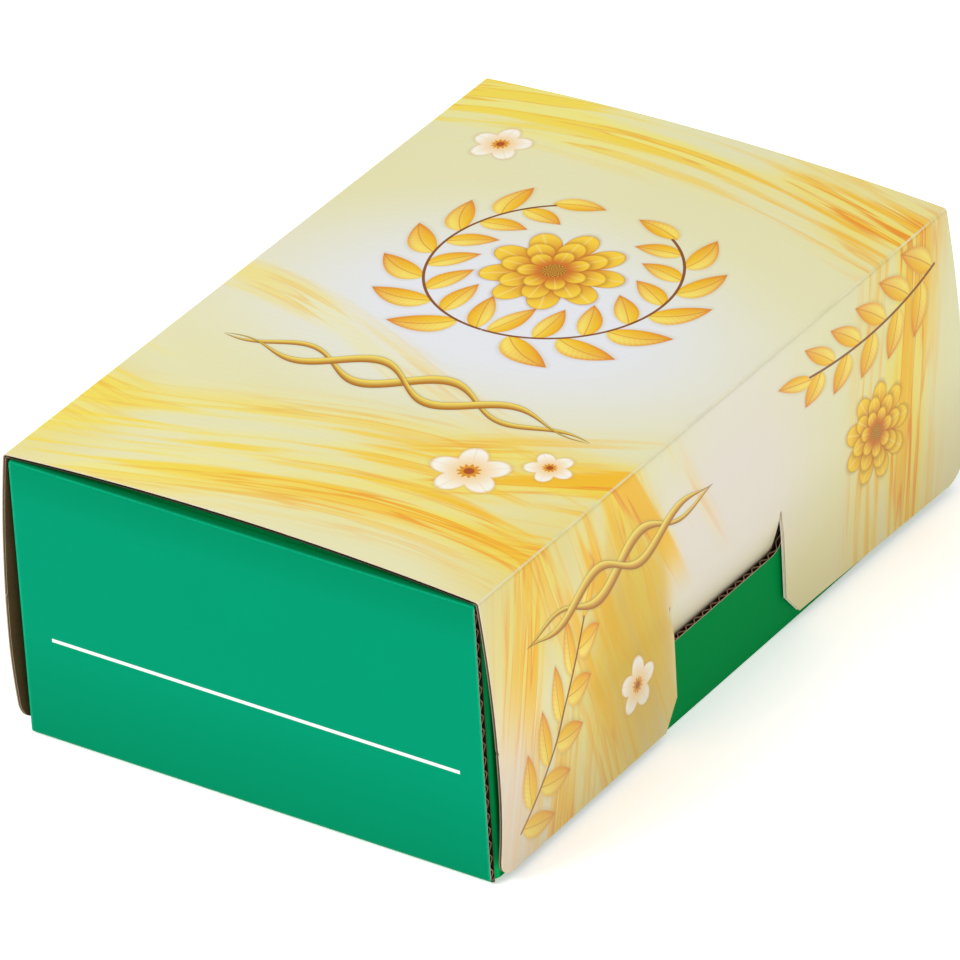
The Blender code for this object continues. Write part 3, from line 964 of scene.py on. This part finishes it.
# %% [markdown]
# ## Flutes
# The middle layer of corrugated board is a wave of brown paper. Only its cut edge can be
# seen, so a strip of it behind each raw edge is enough. The tree lays a grid along a
# path, steps it into the board, and lifts it in a wave. The wave runs one way over the
# whole board, so an edge cut across the flutes shows waves, and one cut along them shows
# a single fold, as on real board.

# %% Build the flute tree
FLUTE_SIZES = {
    "Pitch": BOLD_FLUTE_PITCH, "Swing": 0.85 * MM, "Reach": 4.4 * MM, "Step": 0.4 * MM,
    "Paper": 0.36 * MM, "Rows": 7, "Setback": 0.1 * MM, "Phase": 0.0,
}


def flute_tree(finish):
    """The tree that grows a strip of fluted paper along a path on a flat board."""
    tree, geometry, sizes, leave = new_tree("flutes", FLUTE_SIZES)
    path = add_node(tree, "GeometryNodeMeshToCurve", {"Mesh": geometry}).outputs[0]
    path = add_node(tree, "GeometryNodeResampleCurve", {
        "Curve": path, "Length": sizes["Step"]}, mode="LENGTH").outputs[0]
    length = Figure(tree, add_node(tree, "GeometryNodeCurveLength", {"Curve": path}).outputs[0])
    count = length / sizes["Step"] + 2
    grid = add_node(tree, "GeometryNodeMeshGrid", {
        "Size X": length, "Size Y": sizes["Reach"], "Vertices X": count, "Vertices Y": sizes["Rows"]})
    x, y, _ = split(tree, add_node(tree, "GeometryNodeInputPosition").outputs[0])
    sample = add_node(tree, "GeometryNodeSampleCurve", {
        "Curves": path, "Factor": x / length + 0.5}, mode="FACTOR")
    into = vector_math(tree, "CROSS_PRODUCT", (0, 0, 1), sample.outputs["Tangent"])
    inset = y + sizes["Reach"] * 0.5
    depth = joined(tree, *[inset + sizes["Setback"]] * 3)
    flat = vector_math(tree, "ADD", sample.outputs["Position"], vector_math(tree, "MULTIPLY", into, depth))
    flat_x, flat_y, flat_z = split(tree, flat)
    wave = (flat_y * (2 * math.pi) / sizes["Pitch"] + sizes["Phase"]).math("SINE") * sizes["Swing"]
    marked = stored(tree, grid.outputs["Mesh"], "inset", inset)
    bent = add_node(tree, "GeometryNodeSetPosition", {
        "Geometry": marked, "Position": joined(tree, flat_x, flat_y, flat_z + wave)}).outputs[0]
    thick = add_node(tree, "GeometryNodeExtrudeMesh", {
        "Mesh": bent, "Offset Scale": sizes["Paper"], "Individual": False})
    back = add_node(tree, "GeometryNodeFlipFaces", {"Mesh": bent})
    both = add_node(tree, "GeometryNodeJoinGeometry")
    tree.links.new(thick.outputs["Mesh"], both.inputs[0])
    tree.links.new(back.outputs[0], both.inputs[0])
    closed = add_node(tree, "GeometryNodeMergeByDistance", {
        "Geometry": both.outputs[0], "Distance": 0.004 * MM})
    finish_faces(tree, closed.outputs[0], [finish], leave)
    return tree


flutes = flute_tree(flute_paper)


def path_object(name, points, closed):
    """A line through points on a flat board, for the flute tree to follow."""
    form = bmesh.new()
    verts = [form.verts.new(point) for point in points]
    pairs = list(zip(verts, verts[1:])) + ([(verts[-1], verts[0])] if closed else [])
    for pair in pairs:
        form.edges.new(pair)
    return add_object(name, form)


# %% Flutes round the cover
FLUTE_MIDDLE = (COVER_BOARD + OUTER_LINER - INNER_LINER) / 2
cover_flutes = path_object("cover_flutes", [(*place, -FLUTE_MIDDLE) for place in sheet_outline], True)
FINE_FLUTES = {
    **FLUTE_SIZES, "Pitch": FINE_FLUTE_PITCH, "Reach": 2 * MM, "Step": 0.45 * MM, "Paper": 0.16 * MM,
    "Swing": (COVER_BOARD - OUTER_LINER - INNER_LINER) / 2 - 0.1 * MM, "Rows": 4,
}
fold_flutes = folding_tree([pinched_edge])
grow(cover_flutes, (flutes, FINE_FLUTES), (fold_flutes, FOLD_SIZES))
soften(cover_flutes)
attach(cover_flutes, "root")
report(cover_flutes)

# %% [markdown]
# ## The tray
# The tray is cut from one prism, as a joiner would: its plan has the raw corners of the
# end walls and the round folds of the side walls behind them, its profile has the round
# folds at the floor and over the ends, and then the inside, the hand holes and thin
# grooves in the raw edges are cut away. The grooves leave the two liners standing, with
# room for the flutes.

# %% Prisms and cuts
TRAY_CORNER_RADIUS, TRAY_FOLD_RADIUS, END_WALL_LAYERS = 4 * MM, 2.5 * MM, 3
TRAY_LINER, TRAY_GROOVE, SLOT_END = 0.3 * MM, 4.6 * MM, 2 * MM
END_CORNER_RADIUS = 1.8 * MM


def arc_points(centre, radius, start, end, steps=10):
    """Points along an arc; angles are in degrees."""
    angles = [math.radians(start + (end - start) * k / steps) for k in range(steps + 1)]
    return [(centre[0] + radius * math.cos(a), centre[1] + radius * math.sin(a)) for a in angles]


def rounded_outline(low, high, radius, steps=10):
    """A rectangle with round corners, counter-clockwise."""
    corners = ((high[0] - radius, low[1] + radius), (high[0] - radius, high[1] - radius),
               (low[0] + radius, high[1] - radius), (low[0] + radius, low[1] + radius))
    arcs = [arc_points(corner, radius, 90 * k - 90, 90 * k, steps) for k, corner in enumerate(corners)]
    return [point for arc in arcs for point in arc]


def rectangle(low, high):
    """A rectangle, counter-clockwise."""
    return [(low[0], low[1]), (high[0], low[1]), (high[0], high[1]), (low[0], high[1])]


def prism(outline, to_point, direction):
    """A prism from an outline and the direction it is swept in."""
    form = bmesh.new()
    face = form.faces.new([form.verts.new(to_point(a, b)) for a, b in outline])
    swept = bmesh.ops.extrude_face_region(form, geom=[face])
    moved = [item for item in swept["geom"] if isinstance(item, bmesh.types.BMVert)]
    bmesh.ops.translate(form, vec=direction, verts=moved)
    bmesh.ops.recalc_face_normals(form, faces=form.faces)
    return form


def prism_across(outline, start, end):
    """A prism along X, from an outline in Y and Z."""
    return prism(outline, lambda y, z: Vector((start, y, z)), Vector((end - start, 0, 0)))


def trim(obj, form, operation="DIFFERENCE"):
    """Cuts an object with a form, and keeps the result as its mesh."""
    cutter = add_object("cutter", form)
    modifier = obj.modifiers.new("cut", "BOOLEAN")
    modifier.operation, modifier.solver, modifier.object = operation, "EXACT", cutter
    grow(obj)
    bpy.data.objects.remove(cutter)


# %% Cut the tray
HALF_LENGTH, HALF_WIDTH = TRAY_LENGTH / 2, TRAY_WIDTH / 2
INNER_X, INNER_Y = HALF_WIDTH - TRAY_BOARD, HALF_LENGTH - END_WALL_LAYERS * TRAY_BOARD
TOP_GROOVE_END = INNER_Y - 2 * MM


def tray_corner(side, end):
    """Plan points from a raw end edge round the fold behind it."""
    fold = (HALF_WIDTH - TRAY_CORNER_RADIUS, HALF_LENGTH - TRAY_BOARD - TRAY_CORNER_RADIUS)
    points = [(HALF_WIDTH, HALF_LENGTH), (HALF_WIDTH, HALF_LENGTH - TRAY_BOARD)]
    points += arc_points(fold, TRAY_CORNER_RADIUS, 90, 0)
    return [(side * x, end * y) for x, y in points]


def tray_plan():
    """Plan outline of the tray, counter-clockwise."""
    outline = tray_corner(1, 1)[::-1] + tray_corner(-1, 1)
    return outline + tray_corner(-1, -1)[::-1] + tray_corner(1, -1)


def hole_outline(grown=0.0):
    """Outline of the hand hole in Y and Z, or of a larger one round it."""
    half, radius = HAND_HOLE_HALF_WIDTH + grown, HAND_HOLE_RADIUS + grown
    return rounded_outline((-half, HAND_HOLE_BOTTOM - grown), (half, HAND_HOLE_TOP + grown), radius)


def end_corner(side, wall):
    """What rounds an end wall's outer board at one of its upper corners."""
    x, z = HALF_WIDTH - END_CORNER_RADIUS, TRAY_HEIGHT - END_CORNER_RADIUS
    outline = arc_points((x, z), END_CORNER_RADIUS, 0, 90, 6)
    outline += [(x, z + TRAY_BOARD), (x + TRAY_BOARD, z + TRAY_BOARD), (x + TRAY_BOARD, z)]
    outline = [(side * a, b) for a, b in outline]
    start = wall * (HALF_LENGTH - TRAY_BOARD)
    return prism(outline, lambda a, b: Vector((a, start, b)), Vector((0, 2 * wall * TRAY_BOARD, 0)))


def cut_tray():
    """The tray as one mesh, its raw edges grooved."""
    rise = Vector((0, 0, TRAY_HEIGHT))
    tray = add_object("green_tray", prism(tray_plan(), lambda x, y: Vector((x, y, 0)), rise))
    profile = rounded_outline((-HALF_LENGTH, 0), (HALF_LENGTH, TRAY_HEIGHT), TRAY_FOLD_RADIUS)
    trim(tray, prism_across(profile, -TRAY_WIDTH, TRAY_WIDTH), "INTERSECT")
    inside = rectangle((-INNER_X, -INNER_Y), (INNER_X, INNER_Y))
    trim(tray, prism(inside, lambda x, y: Vector((x, y, TRAY_BOARD)), rise))
    trim(tray, prism_across(hole_outline(), -TRAY_WIDTH, TRAY_WIDTH))
    groove_low, groove_high = INNER_X + TRAY_LINER, HALF_WIDTH - TRAY_LINER
    thin = TRAY_BOARD - 2 * TRAY_LINER
    top = rectangle((-TOP_GROOVE_END, TRAY_HEIGHT - TRAY_GROOVE), (TOP_GROOVE_END, TRAY_HEIGHT + TRAY_BOARD))
    for side in (-1, 1):
        groove = sorted((side * groove_low, side * groove_high))
        trim(tray, prism_across(hole_outline(TRAY_GROOVE), *groove))
        for wall in (-1, 1):
            middle = wall * (HALF_LENGTH - TRAY_BOARD / 2)
            slot = rounded_outline((middle - thin / 2, SLOT_END), (middle + thin / 2, TRAY_HEIGHT - SLOT_END),
                                   thin * 0.49, 6)
            ends = sorted((side * (HALF_WIDTH - TRAY_GROOVE), side * (HALF_WIDTH + TRAY_BOARD)))
            trim(tray, prism_across(slot, *ends))
            trim(tray, end_corner(side, wall))
        trim(tray, prism_across(top, *groove))
    form = bmesh.new()
    form.from_mesh(tray.data)
    for wall in (-1, 1):
        bmesh.ops.bisect_plane(form, geom=form.verts[:] + form.edges[:] + form.faces[:],
                               plane_co=(0, wall * TOP_GROOVE_END, 0), plane_no=(0, 1, 0), dist=0.01 * MM)
    form.to_mesh(tray.data)
    form.free()
    return tray


# %% [markdown]
# ## The tray's finishes
# The outside is white paper printed solid green, with one plain white rule on the near
# end wall. The flutes under it show as faint bands. The inside is bare kraft. Each face
# gets its finish from where it lies on the tray.

# %% Green print, and which face gets what
RULE_LEVEL, RULE_HALF_HEIGHT, RULE_ENDS = 46.3 * MM, 0.75 * MM, (-91.5 * MM, 94.1 * MM)
GREEN, DEEP_GREEN, SHADED_SIDE_GREEN = ink(0, 146, 107), ink(0, 134, 92), ink(0, 138, 66)
WEAR_AND_HIGHLIGHT_GREEN, FOLD_LEVEL = ink(20, 182, 130), TRAY_HEIGHT - 1.3 * MM


def green_finish():
    """Solid green print on white liner, with the white rule on the near end, painted shade on the side walls
    and under the cover's edge, and painted highlights on the folds.
    """
    made, shader, tree = new_material("green_print", 0.5, Specular_IOR_Level=0.01)
    place = object_place(tree)
    x, y, z = split(tree, place)
    cloud = noise(tree, place, 38, 3)
    grain = noise(tree, place, 1500, 2)
    # The green is darker towards the floor and towards the top.
    deep = above(fade(z, 0.0, 60 * MM), ramp(z, 96 * MM, TRAY_HEIGHT)) * 0.8
    colour = mixed(tree, above(clamped(cloud * 0.5 + grain * 0.25 - 0.2) * 0.5, deep), GREEN, DEEP_GREEN)
    # Painted shade: the side walls get a darker, yellower green than the end faces.
    behind = ramp(HALF_LENGTH - abs(y), TRAY_BOARD * 0.2, TRAY_BOARD)
    colour = mixed(tree, behind, colour, SHADED_SIDE_GREEN)
    # Painted shadow: the rolled top of each end wall darkens under the cover's edge.
    shadow_under_cover = ramp(z, FOLD_LEVEL + 0.2 * MM, FOLD_LEVEL + 0.9 * MM) * (1 - behind)
    colour = mixed(tree, shadow_under_cover, colour, ink(0, 106, 56))
    # Painted highlight: brighter green on the side walls' round folds behind the raw ends.
    fold_light = within(HALF_LENGTH - abs(y), TRAY_BOARD + 1.2 * MM, TRAY_BOARD + 3.4 * MM, 0.9 * MM)
    colour = mixed(tree, fold_light, colour, ink(0, 196, 106))
    # The raw upright edges are lightened by worn ink, and the line along the top fold is a painted highlight.
    upright_edge = fade(abs(abs(x) - HALF_WIDTH + 0.5 * MM), 0.2 * MM, 0.6 * MM)
    top_fold_highlight = fade(abs(z - FOLD_LEVEL), 0.1 * MM, 0.45 * MM) * (1 - behind)
    wear_and_fold_highlight = above(upright_edge * (1 - behind), top_fold_highlight) * ramp(grain, 0.2, 0.6)
    colour = mixed(tree, wear_and_fold_highlight * 0.5, colour, WEAR_AND_HIGHLIGHT_GREEN)
    across = edge_of(x - RULE_ENDS[0], 0.05 * MM) * edge_of(RULE_ENDS[1] - x, 0.05 * MM)
    on_rule = across * edge_of(RULE_HALF_HEIGHT - abs(z - RULE_LEVEL), 0.08 * MM)
    near = y.math("LESS_THAN", -HALF_LENGTH + 0.1 * MM)
    paint(tree, shader, mixed(tree, on_rule * near, colour, ink(240, 246, 240)))
    waves = ripple(z, BOLD_FLUTE_PITCH) * near
    bumped(tree, shader, waves * 0.02 + cloud * 0.25 + grain * 0.02, 1 * MM, 0.5)
    return made


def tray_finish(centre, normal):
    """Number of the finish for a face of the tray."""
    x, y, z = abs(centre.x), abs(centre.y), centre.z
    tiny = 0.02 * MM
    between = INNER_X + tiny < x < HALF_WIDTH - tiny
    if z > TRAY_HEIGHT - tiny:
        if y > TOP_GROOVE_END + tiny:
            return PRINTED
        return CUT if x > HALF_WIDTH - TRAY_LINER - tiny else CUT_KRAFT
    if between and z > TRAY_HEIGHT - TRAY_GROOVE - tiny and y < TOP_GROOVE_END + tiny:
        return GROOVE
    if y > HALF_LENGTH - TRAY_BOARD - tiny and x > HALF_WIDTH - TRAY_GROOVE - tiny:
        if y < HALF_LENGTH - TRAY_BOARD + tiny:
            return INSIDE
        if abs(normal.x) > 0.99 and x > HALF_WIDTH - tiny:
            return CUT if y > HALF_LENGTH - TRAY_LINER - tiny else CUT_KRAFT
        if y < HALF_LENGTH - TRAY_LINER + tiny and SLOT_END - tiny < z < TRAY_HEIGHT - SLOT_END + tiny:
            return GROOVE
    in_hole = abs(centre.y) < HAND_HOLE_HALF_WIDTH + TRAY_GROOVE + tiny
    in_hole = in_hole and HAND_HOLE_BOTTOM - TRAY_GROOVE - tiny < z < HAND_HOLE_TOP + TRAY_GROOVE + tiny
    if in_hole and between:
        if x > HALF_WIDTH - TRAY_LINER + tiny:
            return CUT
        return CUT_KRAFT if x < INNER_X + TRAY_LINER - tiny else GROOVE
    if x < INNER_X + tiny and y < INNER_Y + tiny and z > TRAY_BOARD - tiny:
        return INSIDE
    return PRINTED


# %% Finish the tray
tray = cut_tray()
tray.data.materials.clear()
for finish in (green_finish(), kraft_inside, cut_liner, painted_shade_groove, cut_kraft):
    tray.data.materials.append(finish)
for face in tray.data.polygons:
    face.material_index = tray_finish(face.center, face.normal)
soften(tray, 30)
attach(tray, "root")
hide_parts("tray")
report(tray)

# %% Flutes in the tray's raw edges
BOLD_FLUTES = {**FLUTE_SIZES, "Swing": TRAY_BOARD / 2 - TRAY_LINER - 0.2 * MM}
SIDE_FLUTES = {"Pitch": 5.8 * MM, "Phase": 0.8}


def tray_flutes():
    """Flute strips behind the raw ends of the end walls and round the hand holes."""
    strips = []
    for side in (-1, 1):
        levels = [SLOT_END + 0.4 * MM, TRAY_HEIGHT - SLOT_END - 0.4 * MM][::side]
        for wall in (-1, 1):
            path = path_object("strip", [(side * HALF_WIDTH, level, 0) for level in levels], False)
            middle = wall * (HALF_LENGTH - TRAY_BOARD / 2)
            stand = Matrix(((1, 0, 0, 0), (0, 0, -1, middle), (0, 1, 0, 0), (0, 0, 0, 1)))
            strips.append((path, stand, {}))
        loop = [(z, y, 0) for y, z in hole_outline()]
        path = path_object("strip", loop, True)
        middle = side * (HALF_WIDTH - TRAY_BOARD / 2)
        lie = Matrix(((0, 0, -1, middle), (0, 1, 0, 0), (1, 0, 0, 0), (0, 0, 0, 1)))
        strips.append((path, lie, SIDE_FLUTES))
        run = TOP_GROOVE_END - 0.3 * MM
        path = path_object("strip", [(TRAY_HEIGHT, -run, 0), (TRAY_HEIGHT, run, 0)], False)
        strips.append((path, lie, SIDE_FLUTES))
    return strips


def merge(name, objects):
    """One object from several, each moved to its place in the mesh."""
    form = bmesh.new()
    for obj, place in objects:
        obj.data.transform(place)
        form.from_mesh(obj.data)
        bpy.data.objects.remove(obj)
    return add_object(name, form)


strips = [(grow(path, (flutes, {**BOLD_FLUTES, **sizes})), place) for path, place, sizes in tray_flutes()]
tray_edges = merge("tray_flutes", strips)
tray_edges.data.materials.append(flute_paper)
soften(tray_edges)
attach(tray_edges, "root")
report(tray_edges)

# %% [markdown]
# ## Floor and light
# The photograph has a plain white ground and soft studio light from the front left, which
# leaves the long side a little darker than the end and the top.

# %% Studio
FLOOR_REACH, FLOOR_LEVEL, FLOOR_GLOW = 6.0, -0.2 * MM, 0.4
LAMPS = (
    ("key", (-1.1, -2.0, 2.2), 1.6, 58),
    ("side_fill", (2.2, -2.2, 0.9), 1.4, 13),
    ("top_fill", (0.3, 1.2, 2.8), 2.0, 20),
)
ROOM_LIGHT = 0.36


def place_floor():
    """A wide pale floor."""
    form = bmesh.new()
    corners = rectangle((-FLOOR_REACH, -FLOOR_REACH), (FLOOR_REACH, FLOOR_REACH))
    form.faces.new([form.verts.new((x, y, FLOOR_LEVEL)) for x, y in corners])
    floor = add_object("floor", form)
    made, shader, tree = new_material("studio_paper", 0.9, Specular_IOR_Level=0.1)
    tone = noise(tree, object_place(tree), 3, 2)
    paint(tree, shader, mixed(tree, tone, ink(255, 255, 255), ink(253, 253, 253)))
    shader.inputs["Emission Color"].default_value = (1, 1, 1, 1)
    shader.inputs["Emission Strength"].default_value = FLOOR_GLOW
    floor.data.materials.append(made)


def place_light(name, spot, size, power):
    """A square lamp that faces the carton."""
    data = bpy.data.lights.new(name, "AREA")
    data.shape, data.size, data.energy = "SQUARE", size, power
    lamp = bpy.data.objects.new(name, data)
    bpy.context.scene.collection.objects.link(lamp)
    lamp.location = spot
    lamp.rotation_euler = (LOOKED_AT - Vector(spot)).to_track_quat("-Z", "Y").to_euler()


place_floor()
for name, spot, size, power in LAMPS:
    place_light(name, spot, size, power)
world = bpy.data.worlds.new("studio")
world.use_nodes = True
background = world.node_tree.nodes["Background"]
background.inputs["Color"].default_value = (1, 1, 1, 1)
background.inputs["Strength"].default_value = ROOM_LIGHT
bpy.context.scene.world = world
bpy.context.scene.view_settings.view_transform = "Standard"
print("lamps:", [name for name, *_ in LAMPS])
